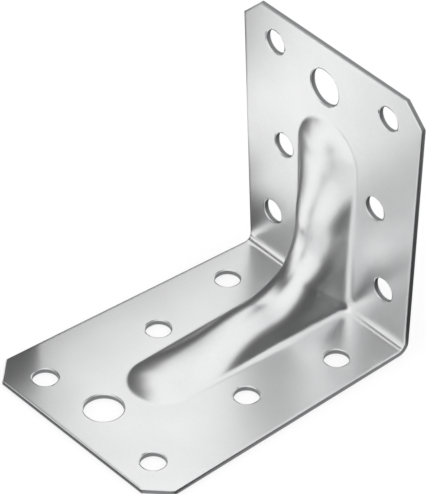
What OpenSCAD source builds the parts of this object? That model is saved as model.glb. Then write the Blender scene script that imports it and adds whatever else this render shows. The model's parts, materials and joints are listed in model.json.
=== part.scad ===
// Angle bracket: one piece of zinc coated sheet, punched, pressed with a rib and folded square.
// The foot lies along +X, the upright stands along +Z and both are as wide as the bracket in Y.
// The origin is on the underside, below the middle of the foot.

/* [Sheet] */
// Thickness of the sheet
sheet_t = 1.25; // [0.8:0.05:2]
// Inside radius of the fold
fold_r = 1.5; // [0.5:0.1:3]

/* [Legs] */
// Length of the foot, from the back of the upright to its free end
foot_l = 72; // [66:0.5:120]
// Height of the upright, from the underside of the foot to its free end
upright_l = 65.5; // [62:0.5:120]
// Width of each leg at its free end
leg_w = 55; // [48:0.5:90]
// Width of both legs at the fold, where the rib has drawn the sheet in
fold_w = 49.5; // [44:0.5:90]
// Length that each cut corner takes from both of its edges
corner_cut = 5; // [1:0.5:6]

/* [Holes] */
// Diameter of the screw holes
screw_d = 5.5; // [3:0.1:7]
// Diameter of the bolt hole in each leg
bolt_d = 8.5; // [5:0.1:11]
// Distance between the two near screw holes, and between the two far ones
outer_spread = 35; // [30:0.5:38]
// Distance between the two middle screw holes
middle_spread = 28.5; // [26:0.5:36]
// Free end of each leg to the middle of its far screw holes
far_edge = 7.5; // [6:0.5:12]
// Free end of each leg to the middle of its bolt hole
bolt_edge = 10.5; // [8:0.5:14]
// Back of the upright to the near screw holes of the foot
foot_near = 14; // [10:0.5:20]
// Underside of the foot to the near screw holes of the upright
upright_near = 13; // [10:0.5:20]
// Where the middle screw holes lie on the way from the near to the far ones
middle_share = 0.44; // [0.3:0.01:0.7]
// How far the bolt holes lie off the middle, toward -Y
bolt_offset = 2; // [-3:0.5:3]

/* [Rib] */
// How far the rib lies off the middle, toward -Y
rib_offset = 0.6; // [-3:0.1:3]
// Height of the crown over each leg where its bend ends
rib_h = 6; // [4:0.1:8]
// Height of the crown at its round end on the foot
foot_end_h = 1.5; // [1:0.1:4]
// Height of the crown at its round end on the upright
upright_end_h = 2; // [1:0.1:4]
// Radius of the bend that the crown takes through the corner
rib_bend_r = 13; // [10:0.5:18]
// Radius across the crown
crown_r = 6.5; // [5:0.1:7.5]
// Slope of the flanks below the crown
flank_angle = 78; // [70:1:82]
// Flat sheet between the rib and each bolt hole
rib_gap = 7; // [1:0.5:8]

/* [Hidden] */
$fn = 96;
// Overrun of every cut
overrun = 1;
// Steps of the crown's arc on each side of the rib's middle line
crown_steps = 9;
// Grid that the points of the rib's section lie on, so that its runs and its bend meet exactly
grid = 0.001;

fold_start = sheet_t + fold_r;
spreads = [outer_spread, middle_spread, outer_spread];
// The crown bends about a line that lies this far from the outer face of both legs
bend_at = sheet_t + rib_h + rib_bend_r;
// The crown's own arc is struck about points at this distance from that line
arc_at = rib_bend_r + crown_r;
// Depth from those points to the outer corner of the fold
corner_depth = sqrt(2) * bend_at - arc_at;

// Where a leg's rows of screw holes are, and the middle of the rib's round end
function screw_rows(length, near) =
    let (far = length - far_edge) [near, near + middle_share * (far - near), far];
function rib_end(length, end_h) =
    on_grid([length - bolt_edge - bolt_d / 2 - rib_gap - sqrt(end_h * (2 * crown_r - end_h))])[0];

// A point moved to the grid
function on_grid(point) = [for (c = point) grid * round(c / grid)];

// One side of the rib's section, as [across, up] from the middle of the crown's arc:
// the arc down to the flank's slope, and the flank down to a depth
function half_section(arc_r, depth) =
    let (points = concat(
        [for (i = [0:crown_steps]) let (a = flank_angle * i / crown_steps) arc_r * [sin(a), cos(a)]],
        [[arc_r * sin(flank_angle) + (arc_r * cos(flank_angle) + depth) / tan(flank_angle), -depth]]
    ))
    [for (p = points) on_grid(p)];
function whole_section(arc_r, depth) =
    let (half = half_section(arc_r, depth))
    concat(half, [for (i = [len(half) - 1:-1:1]) [-half[i][0], half[i][1]]]);

// A leg in the foot's place, from the fold to its free end
module leg(length) {
    linear_extrude(sheet_t)
        polygon([
            [fold_start, -fold_w / 2],
            [length - corner_cut, -leg_w / 2],
            [length, corner_cut - leg_w / 2],
            [length, leg_w / 2 - corner_cut],
            [length - corner_cut, leg_w / 2],
            [fold_start, fold_w / 2]
        ]);
}

// The holes of a leg in the foot's place
module leg_holes(length, near) {
    rows = screw_rows(length, near);
    for (i = [0:len(rows) - 1])
        for (side = [-1, 1])
            translate([rows[i], side * spreads[i] / 2, -overrun])
                cylinder(d = screw_d, h = sheet_t + 2 * overrun);
    translate([length - bolt_edge, -bolt_offset, -overrun])
        cylinder(d = bolt_d, h = sheet_t + 2 * overrun);
}

// Turns a leg from the foot's place into the upright's
module as_upright() {
    mirror([1, 0, -1]) children();
}

// A quarter turn about a line across the bracket, from the upright's side to the foot's,
// of a shape drawn as [distance from the line, across]
module corner_turn(at) {
    translate([at, 0, at])
        rotate([90, 0, 0])
            rotate_extrude(angle = 90, start = 180)
                children();
}

// The rib's run along a leg in the foot's place, falling from the bend to its round end:
// the section at the bend, the same section lower down at the end, and the sides between them
module rib_run(length, end_h, arc_r, depth) {
    half = half_section(arc_r, depth);
    whole = whole_section(arc_r, depth);
    count = len(whole);
    end = rib_end(length, end_h);
    arc_z = bend_at - arc_at;
    end_z = arc_z - rib_h + end_h;
    polyhedron(
        points = concat(
            [for (p = whole) [bend_at, p[0], arc_z + p[1]]],
            [for (p = whole) [end, p[0], end_z + p[1]]]
        ),
        faces = concat(
            [[for (i = [0:count - 1]) count - 1 - i], [for (i = [0:count - 1]) count + i]],
            [for (i = [0:count - 1]) let (j = (i + 1) % count) [i, j, count + j, count + i]]
        )
    );
    translate([end, 0, end_z])
        rotate_extrude(angle = 180, start = -90)
            polygon(concat(half, [[0, half[len(half) - 1][1]]]));
}

// The whole rib along both legs and through the corner, as a solid with an arc of a radius
module rib_form(arc_r, depth) {
    translate([0, -rib_offset, 0]) {
        rib_run(foot_l, foot_end_h, arc_r, depth);
        as_upright() rib_run(upright_l, upright_end_h, arc_r, depth);
        corner_turn(bend_at)
            polygon([for (p = whole_section(arc_r, depth)) [arc_at - p[1], p[0]]]);
    }
}

// Everything on the inner side of the middle of the sheet's thickness, with a round inside corner
module inner_side() {
    size = max(foot_l, upright_l);
    middle_r = fold_r + sheet_t / 2;
    translate([fold_start, leg_w / 2, fold_start])
        rotate([90, 0, 0]) {
            linear_extrude(leg_w)
                polygon([
                    [0, 0], [0, -middle_r], [size, -middle_r], [size, size], [-middle_r, size], [-middle_r, 0]
                ]);
            cylinder(r = middle_r, h = leg_w);
        }
}

module bracket() {
    color("silver")
        translate([-foot_l / 2, 0, 0])
            difference() {
                union() {
                    leg(foot_l);
                    as_upright() leg(upright_l);
                    corner_turn(fold_start)
                        translate([fold_r, -fold_w / 2])
                            square([sheet_t, fold_w]);
                    intersection() {
                        rib_form(crown_r, corner_depth);
                        inner_side();
                    }
                }
                rib_form(crown_r - sheet_t, corner_depth + overrun);
                leg_holes(foot_l, foot_near);
                as_upright() leg_holes(upright_l, upright_near);
            }
}

bracket();
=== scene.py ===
"""A zinc coated angle bracket with a pressed rib, and the small studio that shows it."""

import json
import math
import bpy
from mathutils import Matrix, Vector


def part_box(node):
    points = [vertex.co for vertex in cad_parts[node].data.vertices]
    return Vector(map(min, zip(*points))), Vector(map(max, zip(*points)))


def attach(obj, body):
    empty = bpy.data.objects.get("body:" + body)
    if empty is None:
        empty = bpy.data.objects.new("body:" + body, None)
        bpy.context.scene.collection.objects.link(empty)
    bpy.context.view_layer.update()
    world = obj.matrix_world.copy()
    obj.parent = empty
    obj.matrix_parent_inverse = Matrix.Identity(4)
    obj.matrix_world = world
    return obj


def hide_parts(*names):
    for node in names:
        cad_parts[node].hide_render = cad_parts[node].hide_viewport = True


bl_info = {
    "name": "Angle Bracket",
    "version": (1, 0, 0),
    "blender": (4, 5, 0),
    "location": "3D View > Sidebar > Bracket",
    "description": "Builds a zinc coated angle bracket with a pressed rib, and its studio",
    "category": "Object",
}

import bpy
import numpy as np
from bpy.props import FloatProperty, FloatVectorProperty, IntProperty, PointerProperty
from mathutils import Matrix, Vector

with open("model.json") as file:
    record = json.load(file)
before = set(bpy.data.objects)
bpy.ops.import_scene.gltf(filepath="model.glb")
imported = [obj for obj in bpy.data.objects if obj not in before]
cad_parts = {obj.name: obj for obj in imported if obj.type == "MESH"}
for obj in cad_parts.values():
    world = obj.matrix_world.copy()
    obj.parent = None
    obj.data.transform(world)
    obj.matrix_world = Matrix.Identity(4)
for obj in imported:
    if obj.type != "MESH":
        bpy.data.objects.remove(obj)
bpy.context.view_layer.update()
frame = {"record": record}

NODE = "bracket"
BODY = "root"
LOW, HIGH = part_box(NODE)
SIZE = HIGH - LOW
MM = 0.001

# Mesh attribute that is 1 on a bare cut and 0 on the zinc coat; it places the dark cut colour, which is
# partly painted shade
CUT_MASK = "cut_edge"
# The mask is this power of how far a rolled edge stands out, so it fades soon beside the cut
CUT_POWER = 6

# Sockets of the Mix node for each kind of mix: its two inputs and its result
MIX_SOCKETS = {"FLOAT": (2, 3, 0), "RGBA": (6, 7, 2)}

# Planes and lines that several dark cards share, in millimetres
LEFT_WALL = -75
RIGHT_WALL = 75
FAR_BACK = -80
BEHIND = -37
OVER_FLOOR = 0.5
# Dark cards as two opposite corners in millimetres. Only reflections see them, and they give the sheet
# beside the fold, the sides of the rib and the edges their dark shades.
CARDS = {
    "card_left_low": ((FAR_BACK, LEFT_WALL, 0), (-10, LEFT_WALL, 49)),
    "card_left_strip": ((-10, LEFT_WALL, 0), (8, LEFT_WALL, 57)),
    "card_left_front": ((8, LEFT_WALL, 27), (26, LEFT_WALL, 57)),
    "card_left_middle": ((-14, LEFT_WALL, 57), (38, LEFT_WALL, 84)),
    "card_left_high": ((2, LEFT_WALL, 84), (100, LEFT_WALL, 180)),
    "card_foot_end": ((19, -31, 5), (46, -31, 19)),
    "card_back_floor": ((FAR_BACK, LEFT_WALL, OVER_FLOOR), (BEHIND, RIGHT_WALL, OVER_FLOOR)),
    "card_side_floor": ((BEHIND, -42, OVER_FLOOR), (-21, -27, OVER_FLOOR)),
    "card_side_far": ((BEHIND, LEFT_WALL, OVER_FLOOR), (-16, -42, OVER_FLOOR)),
    "card_right_low": ((FAR_BACK, RIGHT_WALL, 0), (60, RIGHT_WALL, 80)),
    "card_right_floor": ((BEHIND, 27.6, OVER_FLOOR), (36, RIGHT_WALL, OVER_FLOOR)),
    "card_front_floor": ((36.1, -28, OVER_FLOOR), (42, 28, OVER_FLOOR)),
}


def length(name, millimetres, description):
    """A length property whose default is given in millimetres."""
    return FloatProperty(
        name=name, description=description, default=millimetres * MM, unit="LENGTH", precision=5
    )


def angle(name, degrees, description):
    """An angle property whose default is given in degrees."""
    return FloatProperty(
        name=name, description=description, default=math.radians(degrees), subtype="ANGLE"
    )


def colour(name, value, description):
    """A colour property with red, green and blue between 0 and 1."""
    return FloatVectorProperty(
        name=name, description=description, default=value, subtype="COLOR", min=0, max=1
    )


def share(name, value, description):
    """A number property between 0 and 1."""
    return FloatProperty(
        name=name, description=description, default=value, min=0, max=1, subtype="FACTOR"
    )


def number(name, value, description, unit="NONE"):
    """A number property that isn't negative."""
    return FloatProperty(name=name, description=description, default=value, min=0, unit=unit)


def steps(name, value, description):
    """A property that counts mesh steps."""
    return IntProperty(name=name, description=description, default=value, min=2)


class BracketSizes(bpy.types.PropertyGroup):
    """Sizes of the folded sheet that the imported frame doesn't give."""

    sheet: length("Sheet", 1.25, "Thickness of the sheet")
    fold_radius: length("Fold radius", 1.5, "Inside radius of the fold")
    fold_width: length("Fold width", 49.5, "Width of both legs at the fold")
    corner_cut: length("Corner cut", 5.0, "Length that a cut corner takes from both of its edges")
    edge_round: length("Edge round", 0.28, "Radius of the rolled edges of the outline and the holes")
    rib_across: length("Rib across", -0.6, "Place of the rib's middle line across the bracket")
    rib_half: length("Rib half width", 9.5, "Half the rib's width in the corner")
    foot_end_half: length("Foot end half width", 7.9, "Half the rib's width at its end on the foot")
    upright_end_half: length("Upright end half width", 9.4, "Half the rib's width at its upper end")
    rib_height: length("Rib height", 6.0, "Height of the crown over a leg where its bend ends")
    foot_end_height: length("Foot end height", 1.5, "Height of the crown at its end on the foot")
    upright_end_height: length("Upright end height", 2.0, "Height of the crown at its upper end")
    foot_end: length("Foot end", 46.3, "Back of the upright to the middle of the rib's end on the foot")
    upright_end: length("Upright end", 38.0, "Underside to the middle of the rib's upper end")
    rib_bend: length("Rib bend", 13.0, "Radius of the crown's bend through the corner")
    rib_root: length("Rib root", 2.5, "Radius of the hollow where a flank meets a leg, in the corner")
    end_root: length("End root", 1.0, "Radius of the same hollow at both ends of the rib")
    rib_flank: angle("Rib flank", 80.0, "Steepest slope of the flanks")
    coarse_step: length("Coarse step", 0.55, "Mesh spacing on the flat sheet")
    fine_step: length("Fine step", 0.3, "Mesh spacing across the rib")
    fine_reach: length("Fine reach", 11.0, "Half the width of the finely spaced strip along the rib")
    fold_steps: steps("Fold steps", 14, "Mesh steps around the fold")
    edge_steps: steps("Edge steps", 4, "Mesh steps around a rolled edge")


class BracketFinish(bpy.types.PropertyGroup):
    """Colours and grain of the zinc coat."""

    zinc: colour("Zinc", (0.91, 0.913, 0.913), "Colour of the zinc coat")
    zinc_dull: colour("Dull zinc", (0.86, 0.864, 0.868), "Colour of the duller patches of the coat")
    # Bare cut steel is darker than the coat, and this colour is darker still as painted shade on the edges
    cut_steel_and_shade: colour("Cut steel", (0.28, 0.285, 0.29), "Colour of the bare cut edges")
    roughness: share("Roughness", 0.3, "Roughness of the coat")
    cut_roughness: share("Cut roughness", 0.6, "Roughness of the cut edges")
    cloud_scale: number("Cloud scale", 60.0, "Scale of the noise that makes the cloudy patches")
    cloud_detail: number("Cloud detail", 3.0, "Detail of the noise that makes the cloudy patches")
    speck_scale: number("Speck scale", 1600.0, "Scale of the noise that makes the fine specks")
    speck_detail: number("Speck detail", 2.0, "Detail of the noise that makes the fine specks")
    speck_share: share("Speck share", 0.35, "Share that the specks have in the mottling")
    dull_below: share("Dull below", 0.35, "Mottling under which the coat has its dull colour")
    bright_above: share("Bright above", 0.65, "Mottling over which the coat has its full colour")
    rough_spread: share("Roughness spread", 0.03, "How far the mottling moves the roughness each way")
    rough_below: share("Rough below", 0.2, "Mottling under which the coat is roughest")
    smooth_above: share("Smooth above", 0.8, "Mottling over which the coat is smoothest")
    relief: share("Relief", 0.02, "Strength of the specks' relief")
    relief_depth: length("Relief depth", 0.05, "Depth of the specks' relief at full strength")


class BracketStudio(bpy.types.PropertyGroup):
    """The camera, the floor and the light."""

    azimuth: angle("Azimuth", 139.044, "Camera's bearing, where zero looks along +Y")
    elevation: angle("Elevation", 38.746, "Camera's height over the horizon")
    roll: angle("Roll", 0.27, "Camera's turn about its own axis")
    distance: length("Distance", 1000.0, "Camera to the middle of the bracket")
    slide_right: length("Slide right", 1.991, "Camera's move to its right")
    slide_up: length("Slide up", -0.563, "Camera's move up in its own picture")
    lens: number("Lens", 353.61, "Focal length in millimetres", "CAMERA")
    white: colour("White", (1.0, 1.0, 1.0), "Colour of the floor's glow and of the surround")
    surround_shown: number("Surround shown", 1.0, "Strength of the surround in the picture")
    surround_light: number("Surround light", 0.8, "Strength of the surround as a light")
    floor_grey: colour("Floor grey", (0.3, 0.3, 0.3), "Colour of the floor under its glow")
    floor_shown: number("Floor shown", 0.72, "Strength of the floor's glow in the picture")
    floor_light: number("Floor light", 0.4, "Strength of the floor's glow as a light")
    floor_reach: length("Floor reach", 3000.0, "Half the side of the floor")
    floor_gap: length("Floor gap", 0.02, "Room between the bracket and the floor")
    lamp_place: FloatVectorProperty(
        name="Lamp place", description="Middle of the lamp", default=(0.1, 0.1, 0.9),
        subtype="XYZ", unit="LENGTH"
    )
    lamp_size: length("Lamp size", 800.0, "Side of the square lamp")
    lamp_power: number("Lamp power", 2.0, "Power of the lamp in watts", "POWER")
    card: colour("Dark card", (0.08, 0.08, 0.082), "Colour of the dark cards round the set")


def outline(sizes, inset):
    """Rows of the flat sheet, and its half width at each, for an outline moved in by an inset.

    A row is a place along the run: the run is zero at the fold, counts up along the foot and down along
    the upright. The half width grows evenly from the fold to the cut corner and then falls at 45 degrees.
    """
    start = sizes.sheet + sizes.fold_radius
    cut = sizes.corner_cut

    def leg(reach):
        """Rows and half widths of one leg, from the fold to its free end."""
        slope = (SIZE.y - sizes.fold_width) / 2 / (reach - cut - start)
        side = sizes.fold_width / 2 - slope * start - inset * math.hypot(1, slope)
        tip = SIZE.y / 2 - cut + reach - inset * math.sqrt(2)
        corner = (tip - side) / (1 + slope)
        counts = [round((reach - cut - start) / sizes.coarse_step), round(cut / sizes.coarse_step)]
        runs = spaced([start, corner, reach - inset], counts)
        return runs, np.minimum(side + slope * runs, tip - runs)

    foot, foot_half = leg(SIZE.x)
    upright, upright_half = leg(SIZE.z)
    fold = spaced([-start, start], [sizes.fold_steps])[1:-1]
    fold_half = np.full(len(fold), sizes.fold_width / 2 - inset)
    runs = np.concatenate([-upright[::-1], fold, foot])
    return runs, np.concatenate([upright_half[::-1], fold_half, foot_half])


def spaced(stops, counts):
    """Numbers that run through the stops, in equal steps from each stop to the next."""
    parts = [np.linspace(a, b, n, endpoint=False) for a, b, n in zip(stops, stops[1:], counts)]
    return np.concatenate(parts + [np.array(stops[-1:])])


def holes():
    """Each hole as run, place across and radius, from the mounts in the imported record.

    A mount whose axis is upright lies on the foot, where the run is its X from the back of the upright.
    One whose axis lies along X is on the upright, where the run is its Z, counted down. A bore is one
    hole, a pattern has a hole at each end of each spacing, and a flat face has none.
    """
    found = []
    for mount in frame["record"]["mounts"]:
        dims = mount["dims"]
        on_foot = abs(mount["axis"][2]) > abs(mount["axis"][0])
        keys = ("spacing_y_mm", "spacing_x_mm")
        across_key, along_key = keys if on_foot else keys[::-1]
        middle = mount["pos_m"][0] - LOW.x if on_foot else mount["pos_m"][2]
        if mount["kind"] == "bore":
            found.append((middle if on_foot else -middle, mount["pos_m"][1], dims["r_mm"] * MM))
        if mount["kind"] == "bolt_pattern":
            for along in ends(dims.get(along_key)):
                for across in ends(dims.get(across_key)):
                    run = middle + along if on_foot else -middle - along
                    found.append((run, mount["pos_m"][1] + across, dims["hole_r_mm"] * MM))
    return found


def ends(spacing_mm):
    """Both ends of a spacing about its middle, or the middle alone where there is no spacing."""
    return (-spacing_mm * MM / 2, spacing_mm * MM / 2) if spacing_mm else (0.0,)


def smooth_step(part):
    """A rise from 0 to 1 that starts and ends level: three squares less two cubes."""
    return part**2 * (3 - 2 * part)


class FoldedSheet:
    """The sheet as a map from run, place across and depth under its inner face to a point in space."""

    def __init__(self, sizes):
        """Keeps the sizes and works out where the fold starts and where the rib bends."""
        self.sizes = sizes
        self.start = sizes.sheet + sizes.fold_radius
        self.bend_at = sizes.sheet + sizes.rib_height + sizes.rib_bend

    def base(self, run, depth):
        """The sheet without its rib, as X and Z from the outer corner.

        Each leg is straight, and between them is a quarter turn of the fold's radius plus the depth.
        """
        turn = np.clip((run + self.start) / (2 * self.start), 0, 1) * math.pi / 2
        radius = self.sizes.fold_radius + depth
        x = self.start - radius * np.cos(turn) + np.maximum(run - self.start, 0)
        z = self.start - radius * np.sin(turn) + np.maximum(-run - self.start, 0)
        return x, z

    def rib(self, run, across, depth):
        """How far the rib lifts a point, and the direction as X and Z.

        The direction is toward the line that the crown bends about, or square to a leg past the bend. The
        crown is at the bend's radius from that line, and sinks by a smooth step along each leg. The
        section is the crown's arc, a straight flank and the hollow arc of the root, all tangent to each
        other: its height, its half width, the root's radius and the steepest slope give the crown's
        radius. The half width changes evenly from the corner to each end, and the root's radius from the
        bend to each end. Each end is round.
        """
        sizes = self.sizes
        x, z = self.base(run, depth)
        to_x, to_z = np.maximum(self.bend_at - x, 0), np.maximum(self.bend_at - z, 0)
        reach = np.hypot(to_x, to_z)
        on_foot = run > 0
        end = np.where(on_foot, sizes.foot_end, sizes.upright_end)
        end_height = np.where(on_foot, sizes.foot_end_height, sizes.upright_end_height)
        end_half = np.where(on_foot, sizes.foot_end_half, sizes.upright_end_half)
        part = np.clip((np.abs(run) - self.bend_at) / (end - self.bend_at), 0, 1)
        high = reach - sizes.rib_bend - depth - smooth_step(part) * (sizes.rib_height - end_height)
        half = sizes.rib_half + (end_half - sizes.rib_half) * np.clip(np.abs(run) / end, 0, 1)
        slope = np.minimum(2 * np.arctan(high / half), sizes.rib_flank)
        root = sizes.rib_root + (sizes.end_root - sizes.rib_root) * part + depth
        crown = (half - high / np.tan(slope)) / np.tan(slope / 2) - root
        flank_from, flank_to = crown * np.sin(slope), half - root * np.sin(slope)
        off = np.hypot(np.maximum(np.abs(run) - end, 0), across - sizes.rib_across)
        on_crown = high - crown + np.sqrt(np.maximum(crown**2 - off**2, 0))
        on_flank = high - crown * (1 - np.cos(slope)) - (off - flank_from) * np.tan(slope)
        on_root = root - np.sqrt(np.maximum(root**2 - (half - off) ** 2, 0))
        places = [off <= flank_from, off <= flank_to, off < half]
        lift = np.select(places, [on_crown, on_flank, on_root], 0.0)
        return lift, to_x / reach, to_z / reach

    def points(self, run, across, depth):
        """Points in space: the folded sheet, lifted by the rib."""
        run, across, depth = np.broadcast_arrays(run, across, depth)
        x, z = self.base(run, depth)
        lift, along_x, along_z = self.rib(run, across, depth)
        return np.stack([LOW.x + x + lift * along_x, across, LOW.z + z + lift * along_z], -1)


class FlatGrid:
    """A grid over the flat sheet in which square blocks of cells make room for the round holes."""

    # Half the side of a hole's block, as a share of the hole's radius
    BLOCK_SHARE = 0.8
    # How far from a hole's middle the grid is pulled, in half sides of its block
    PULL_REACH = 1.9

    def __init__(self, sizes, found):
        """Lays out the columns and finds each hole's block of cells."""
        self.sizes = sizes
        half = SIZE.y / 2
        fine_from = (sizes.rib_across - sizes.fine_reach) / half
        fine_to = (sizes.rib_across + sizes.fine_reach) / half
        stops = [-1, fine_from, fine_to, 1]
        spacing = [sizes.coarse_step, sizes.fine_step, sizes.coarse_step]
        counts = [round((b - a) * half / step) for a, b, step in zip(stops, stops[1:], spacing)]
        self.columns = spaced(stops, counts)
        runs, halves = outline(sizes, 0)
        self.shape = (len(runs), len(self.columns))
        self.blocks = []
        for run, across, radius in found:
            row = int(np.argmin(np.abs(runs - run)))
            column = int(np.argmin(np.abs(halves[row] * self.columns - across)))
            row_step = runs[row + 1] - runs[row]
            column_step = halves[row] * (self.columns[column + 1] - self.columns[column])
            tall = round(self.BLOCK_SHARE * radius / row_step)
            wide = round(self.BLOCK_SHARE * radius / column_step)
            self.blocks.append((row, column, tall, wide))

    def flat(self, found, inset):
        """Run and place across of every grid point, for an outline and holes moved in by an inset.

        A point near a hole is pulled toward the hole's circle, at an angle that runs evenly round its
        block: wholly at the block's border, and not at all where the pull's reach ends.
        """
        runs, halves = outline(self.sizes, inset)
        run = np.repeat(runs[:, None], self.shape[1], 1)
        across = halves[:, None] * self.columns[None]
        rows, columns = np.indices(self.shape)
        for (hole_run, hole_across, radius), (row, column, tall, wide) in zip(found, self.blocks):
            down, right = (rows - row) / tall, (columns - column) / wide
            square = np.maximum(np.abs(down), np.abs(right))
            turn = square_angle(down, right)
            pull = np.clip((self.PULL_REACH - square) / (self.PULL_REACH - 1), 0, 1)
            run = run + pull * (hole_run + (radius + inset) * np.cos(turn) - run)
            across = across + pull * (hole_across + (radius + inset) * np.sin(turn) - across)
        return run, across

    def cells(self):
        """Corner indices of every cell outside the holes, anticlockwise from the inner side."""
        index = np.arange(self.shape[0] * self.shape[1]).reshape(self.shape)
        quads = np.stack([index[:-1, :-1], index[1:, :-1], index[1:, 1:], index[:-1, 1:]], -1)
        keep = np.ones(quads.shape[:2], bool)
        for row, column, tall, wide in self.blocks:
            keep[row - tall:row + tall, column - wide:column + wide] = False
        return quads[keep]

    def rings(self):
        """The rings of grid indices round the sheet and round each hole, and whether it is the sheet's."""
        last_row, last_column = self.shape[0] - 1, self.shape[1] - 1
        yield self.ring(0, last_row, 0, last_column), True
        for row, column, tall, wide in self.blocks:
            yield self.ring(row - tall, row + tall, column - wide, column + wide), False

    def ring(self, row_a, row_b, column_a, column_b):
        """Indices once round a rectangle of the grid, anticlockwise from the inner side."""
        tall, wide = row_b - row_a, column_b - column_a
        rows = np.concatenate([
            np.arange(row_a, row_b), np.full(wide, row_b),
            np.arange(row_b, row_a, -1), np.full(wide, row_a)
        ])
        columns = np.concatenate([
            np.full(tall, column_a), np.arange(column_a, column_b),
            np.full(tall, column_b), np.arange(column_b, column_a, -1)
        ])
        return rows * self.shape[1] + columns


def square_angle(down, right):
    """The angle round a square, an eighth of a turn from a side's middle to its corner.

    It grows evenly along each side, and is zero where down is 1 and right is 0.
    """
    steep = np.abs(right) > np.abs(down)
    eighth = math.pi / 4
    with np.errstate(divide="ignore", invalid="ignore"):
        flat_part = np.where(down == 0, 0, right / down) * eighth + math.pi * (down < 0)
        steep_part = math.pi / 2 - np.where(right == 0, 0, down / right) * eighth + math.pi * (right < 0)
    return np.where(steep, steep_part, flat_part)


def bracket_surface(sizes):
    """Points, faces and a cut edge mask of the whole bracket as one closed surface.

    The inner and the outer face are the grid at no depth and at the sheet's depth. Each rim joins them
    with a profile that runs a quarter round out from the inner face, straight along the cut and a quarter
    round back.
    """
    found = holes()
    sheet = FoldedSheet(sizes)
    grid = FlatGrid(sizes, found)
    run, across = (a.ravel() for a in grid.flat(found, sizes.edge_round))
    true_run, true_across = (a.ravel() for a in grid.flat(found, 0))
    count = len(run)
    points = [sheet.points(run, across, 0.0), sheet.points(run, across, sizes.sheet)]
    cuts = [np.zeros(2 * count)]
    cells = grid.cells()
    faces = [cells, cells[:, ::-1] + count]
    turn = np.linspace(0, math.pi / 2, sizes.edge_steps + 1)
    out = np.concatenate([np.sin(turn), np.sin(turn[::-1])])[None, 1:-1]
    sink = sizes.edge_round * (1 - np.cos(turn))
    depth = np.concatenate([sink, sizes.sheet - sink[::-1]])[None, 1:-1]
    total = 2 * count
    for ring, is_outside in grid.rings():
        rim_run = run[ring][:, None] * (1 - out) + true_run[ring][:, None] * out
        rim_across = across[ring][:, None] * (1 - out) + true_across[ring][:, None] * out
        rim = sheet.points(rim_run, rim_across, depth)
        new = total + np.arange(rim.shape[0] * rim.shape[1]).reshape(rim.shape[:2])
        total += new.size
        index = np.concatenate([ring[:, None], new, ring[:, None] + count], 1)
        after = np.roll(index, -1, 0)
        quads = np.stack([index[:, :-1], index[:, 1:], after[:, 1:], after[:, :-1]], -1).reshape(-1, 4)
        faces.append(quads if is_outside else quads[:, ::-1])
        points.append(rim.reshape(-1, 3))
        cuts.append(np.repeat(out**CUT_POWER, len(ring), 0).ravel())
    return without_spare(np.concatenate(points), np.concatenate(faces), np.concatenate(cuts))


def without_spare(points, faces, cuts):
    """The same surface without the points that no face uses."""
    used = np.zeros(len(points), bool)
    used[faces] = True
    place = np.cumsum(used) - 1
    return points[used], place[faces], cuts[used]


def new_object(name, points, faces):
    """A smooth shaded mesh object at the origin, linked to the scene."""
    mesh = bpy.data.meshes.new(name)
    mesh.from_pydata(points.tolist(), [], faces.tolist())
    mesh.polygons.foreach_set("use_smooth", np.ones(len(mesh.polygons), bool))
    mesh.update()
    made = bpy.data.objects.new(name, mesh)
    bpy.context.scene.collection.objects.link(made)
    return made


def zinc_material(finish):
    """Zinc coated sheet: a satin metal with faint clouds, fine specks and bare cut edges whose dark steel
    colour is partly painted shade.
    """
    material = bpy.data.materials.new("zinc_coat")
    material.use_nodes = True
    nodes, links = material.node_tree.nodes, material.node_tree.links
    shader = nodes["Principled BSDF"]
    shader.inputs["Metallic"].default_value = 1.0
    where = nodes.new("ShaderNodeTexCoord").outputs["Object"]
    clouds = noise(nodes, links, where, finish.cloud_scale, finish.cloud_detail)
    specks = noise(nodes, links, where, finish.speck_scale, finish.speck_detail)
    mottling = mix(nodes, links, "FLOAT", finish.speck_share, clouds, specks)
    edge = nodes.new("ShaderNodeAttribute")
    edge.attribute_name = CUT_MASK
    is_cut = edge.outputs["Fac"]

    tone = ramp(nodes, links, mottling, (finish.dull_below, finish.bright_above), (0.0, 1.0))
    coat = mix(nodes, links, "RGBA", tone, finish.zinc_dull, finish.zinc)
    # The cut edges take the dark steel colour, part bare steel and part painted shade
    painted = mix(nodes, links, "RGBA", is_cut, coat, finish.cut_steel_and_shade)
    links.new(painted, shader.inputs["Base Color"])

    limits = (finish.roughness + finish.rough_spread, finish.roughness - finish.rough_spread)
    rough = ramp(nodes, links, mottling, (finish.rough_below, finish.smooth_above), limits)
    edge_rough = mix(nodes, links, "FLOAT", is_cut, rough, finish.cut_roughness)
    links.new(edge_rough, shader.inputs["Roughness"])

    bump = nodes.new("ShaderNodeBump")
    bump.inputs["Strength"].default_value = finish.relief
    bump.inputs["Distance"].default_value = finish.relief_depth
    links.new(specks, bump.inputs["Height"])
    links.new(bump.outputs["Normal"], shader.inputs["Normal"])
    return material


def noise(nodes, links, where, scale, detail):
    """A noise value over the surface."""
    node = nodes.new("ShaderNodeTexNoise")
    node.inputs["Scale"].default_value = scale
    node.inputs["Detail"].default_value = detail
    links.new(where, node.inputs["Vector"])
    return node.outputs["Fac"]


def ramp(nodes, links, value, old, new):
    """A value stretched from two old limits to two new ones, and held there outside them."""
    node = nodes.new("ShaderNodeMapRange")
    for key, limit in zip(("From Min", "From Max", "To Min", "To Max"), (*old, *new)):
        node.inputs[key].default_value = limit
    links.new(value, node.inputs["Value"])
    return node.outputs["Result"]


def mix(nodes, links, kind, factor, first, second):
    """A mix of two values or two colours, the first at factor 0 and the second at factor 1."""
    node = nodes.new("ShaderNodeMix")
    node.data_type = kind
    first_in, second_in, result = MIX_SOCKETS[kind]
    feed(links, node.inputs[0], factor)
    feed(links, node.inputs[first_in], first)
    feed(links, node.inputs[second_in], second)
    return node.outputs[result]


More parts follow.
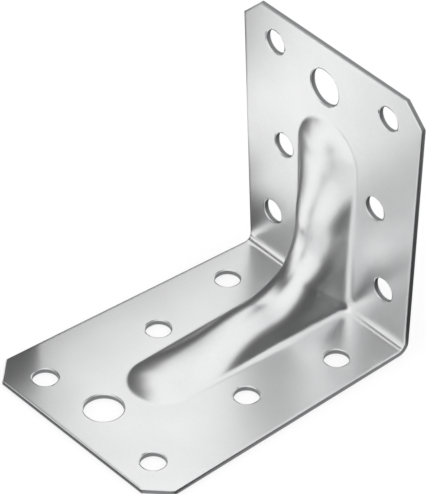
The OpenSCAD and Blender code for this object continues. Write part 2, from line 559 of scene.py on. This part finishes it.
def feed(links, socket, source):
    """Links a socket to an output, or sets it to a number or a colour."""
    if isinstance(source, bpy.types.NodeSocket):
        links.new(source, socket)
    elif isinstance(source, float):
        socket.default_value = source
    else:
        socket.default_value = (*source, 1.0)


class BRACKET_OT_make_sheet(bpy.types.Operator):
    """Build the folded and pressed sheet with its holes"""

    bl_idname = "bracket.make_sheet"
    bl_label = "Make the Bracket"

    def execute(self, context):
        points, faces, cuts = bracket_surface(context.scene.bracket_sizes)
        made = new_object("zinc_bracket", points, faces)
        mask = made.data.attributes.new(CUT_MASK, "FLOAT", "POINT")
        mask.data.foreach_set("value", cuts.astype(np.float32))
        made.data.materials.append(zinc_material(context.scene.bracket_finish))
        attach(made, BODY)
        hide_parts(NODE)
        return {"FINISHED"}


def ray_strength(nodes, links, shown, light):
    """A strength that is one value for camera, glossy and transmitted rays and another for the rest."""
    path = nodes.new("ShaderNodeLightPath")
    is_shown = path.outputs["Is Camera Ray"]
    for key in ("Is Glossy Ray", "Is Transmission Ray"):
        either = nodes.new("ShaderNodeMath")
        either.operation = "MAXIMUM"
        links.new(is_shown, either.inputs[0])
        links.new(path.outputs[key], either.inputs[1])
        is_shown = either.outputs[0]
    return mix(nodes, links, "FLOAT", is_shown, light, shown)


def make_world(studio):
    """An even white surround."""
    world = bpy.data.worlds.new("white_surround")
    bpy.context.scene.world = world
    world.use_nodes = True
    nodes, links = world.node_tree.nodes, world.node_tree.links
    back = nodes["Background"]
    back.inputs["Color"].default_value = (*studio.white, 1.0)
    strength = ray_strength(nodes, links, studio.surround_shown, studio.surround_light)
    links.new(strength, back.inputs["Strength"])


def bare_material(name):
    """A material with nothing but its output, and its nodes and links."""
    material = bpy.data.materials.new(name)
    material.use_nodes = True
    nodes = material.node_tree.nodes
    nodes.remove(nodes["Principled BSDF"])
    return material, nodes, material.node_tree.links


def floor_material(studio):
    """A matt grey that shows the shadow, and a white glow over it that makes the rest white."""
    material, nodes, links = bare_material("white_floor")
    matt = nodes.new("ShaderNodeBsdfDiffuse")
    matt.inputs["Color"].default_value = (*studio.floor_grey, 1.0)
    glow = nodes.new("ShaderNodeEmission")
    glow.inputs["Color"].default_value = (*studio.white, 1.0)
    strength = ray_strength(nodes, links, studio.floor_shown, studio.floor_light)
    links.new(strength, glow.inputs["Strength"])
    both = nodes.new("ShaderNodeAddShader")
    links.new(matt.outputs[0], both.inputs[0])
    links.new(glow.outputs[0], both.inputs[1])
    links.new(both.outputs[0], nodes["Material Output"].inputs["Surface"])
    return material


def card_material(studio):
    """An even dark tone that no light changes."""
    material, nodes, links = bare_material("dark_card")
    glow = nodes.new("ShaderNodeEmission")
    glow.inputs["Color"].default_value = (*studio.card, 1.0)
    links.new(glow.outputs[0], nodes["Material Output"].inputs["Surface"])
    return material


def flat_rectangle(name, low, high, material):
    """A rectangle between two opposite corners that share one of X, Y and Z, square to that axis."""
    low, high = np.array(low), np.array(high)
    first, second = np.flatnonzero(low != high)
    points = np.repeat(low[None], 4, 0)
    points[[1, 2], first] = high[first]
    points[[2, 3], second] = high[second]
    made = new_object(name, points, np.array([[0, 1, 2, 3]]))
    made.data.materials.append(material)
    return made


def make_floor(studio):
    """A wide white floor that shows the bracket's soft shadow."""
    reach = studio.floor_reach
    height = LOW.z - studio.floor_gap
    material = floor_material(studio)
    floor = flat_rectangle("floor", (-reach, -reach, height), (reach, reach, height), material)


def make_cards(studio):
    """The dark cards, which only reflections see."""
    material = card_material(studio)
    for name, (low, high) in CARDS.items():
        card = flat_rectangle(name, np.array(low) * MM, np.array(high) * MM, material)
        card.visible_camera = False
        card.visible_diffuse = False
        card.visible_shadow = False


def make_lamp(studio):
    """A square soft lamp over the bracket, aimed at the origin, which reflections don't see."""
    data = bpy.data.lights.new("top_lamp", "AREA")
    data.size = studio.lamp_size
    data.energy = studio.lamp_power
    lamp = bpy.data.objects.new("top_lamp", data)
    lamp.location = studio.lamp_place
    lamp.visible_glossy = False
    lamp.rotation_euler = Vector(studio.lamp_place).to_track_quat("Z", "Y").to_euler()
    bpy.context.scene.collection.objects.link(lamp)


def make_camera(studio):
    """A long lens that looks down on the inner side of the corner, as the photograph does.

    It stands on the line from the middle of the bracket's box that the azimuth and the elevation give,
    turned about that line by the roll and moved by both slides in the plane of its picture.
    """
    bearing, height, roll = studio.azimuth, studio.elevation, studio.roll
    level = math.cos(height)
    back = Vector((math.sin(bearing) * level, -math.cos(bearing) * level, math.sin(height)))
    right = Vector((math.cos(bearing), math.sin(bearing), 0))
    up = back.cross(right)
    turned_right = right * math.cos(roll) + up * math.sin(roll)
    turned_up = up * math.cos(roll) - right * math.sin(roll)
    eye = (LOW + HIGH) / 2 + back * studio.distance
    eye += turned_right * studio.slide_right + turned_up * studio.slide_up
    turn = Matrix((turned_right, turned_up, back)).transposed().to_4x4()
    data = bpy.data.cameras.new("camera")
    data.lens = studio.lens
    data.dof.use_dof = False
    camera = bpy.data.objects.new("camera", data)
    camera.matrix_world = Matrix.Translation(eye) @ turn
    bpy.context.scene.collection.objects.link(camera)
    bpy.context.scene.camera = camera


class BRACKET_OT_make_stage(bpy.types.Operator):
    """Build the floor, the light, the dark cards and the camera"""

    bl_idname = "bracket.make_stage"
    bl_label = "Make the Stage"

    def execute(self, context):
        studio = context.scene.bracket_studio
        context.scene.view_settings.view_transform = "Standard"
        make_world(studio)
        make_floor(studio)
        make_cards(studio)
        make_lamp(studio)
        make_camera(studio)
        return {"FINISHED"}


class BRACKET_PT_tools(bpy.types.Panel):
    """Lists the pieces that can be built and the values that can be changed"""

    bl_idname = "BRACKET_PT_tools"
    bl_label = "Angle Bracket"
    bl_space_type = "VIEW_3D"
    bl_region_type = "UI"
    bl_category = "Bracket"

    def draw(self, context):
        for operator in OPERATORS:
            self.layout.operator(operator.bl_idname)
        for key in PROPERTY_GROUPS:
            group = getattr(context.scene, key)
            column = self.layout.box().column()
            for name in group.bl_rna.properties.keys():
                if name not in ("rna_type", "name"):
                    column.prop(group, name)


OPERATORS = (BRACKET_OT_make_sheet, BRACKET_OT_make_stage)
PROPERTY_GROUPS = {
    "bracket_sizes": BracketSizes,
    "bracket_finish": BracketFinish,
    "bracket_studio": BracketStudio,
}
CLASSES = (*PROPERTY_GROUPS.values(), *OPERATORS, BRACKET_PT_tools)


def register():
    """Adds the classes to Blender and the property groups to its scenes."""
    for cls in CLASSES:
        bpy.utils.register_class(cls)
    for key, group in PROPERTY_GROUPS.items():
        setattr(bpy.types.Scene, key, PointerProperty(type=group))


def unregister():
    """Takes the property groups and the classes out again."""
    for key in PROPERTY_GROUPS:
        delattr(bpy.types.Scene, key)
    for cls in reversed(CLASSES):
        bpy.utils.unregister_class(cls)


def main():
    """Registers the add-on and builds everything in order."""
    register()
    bpy.ops.bracket.make_sheet()
    bpy.ops.bracket.make_stage()


if __name__ == "__main__":
    main()
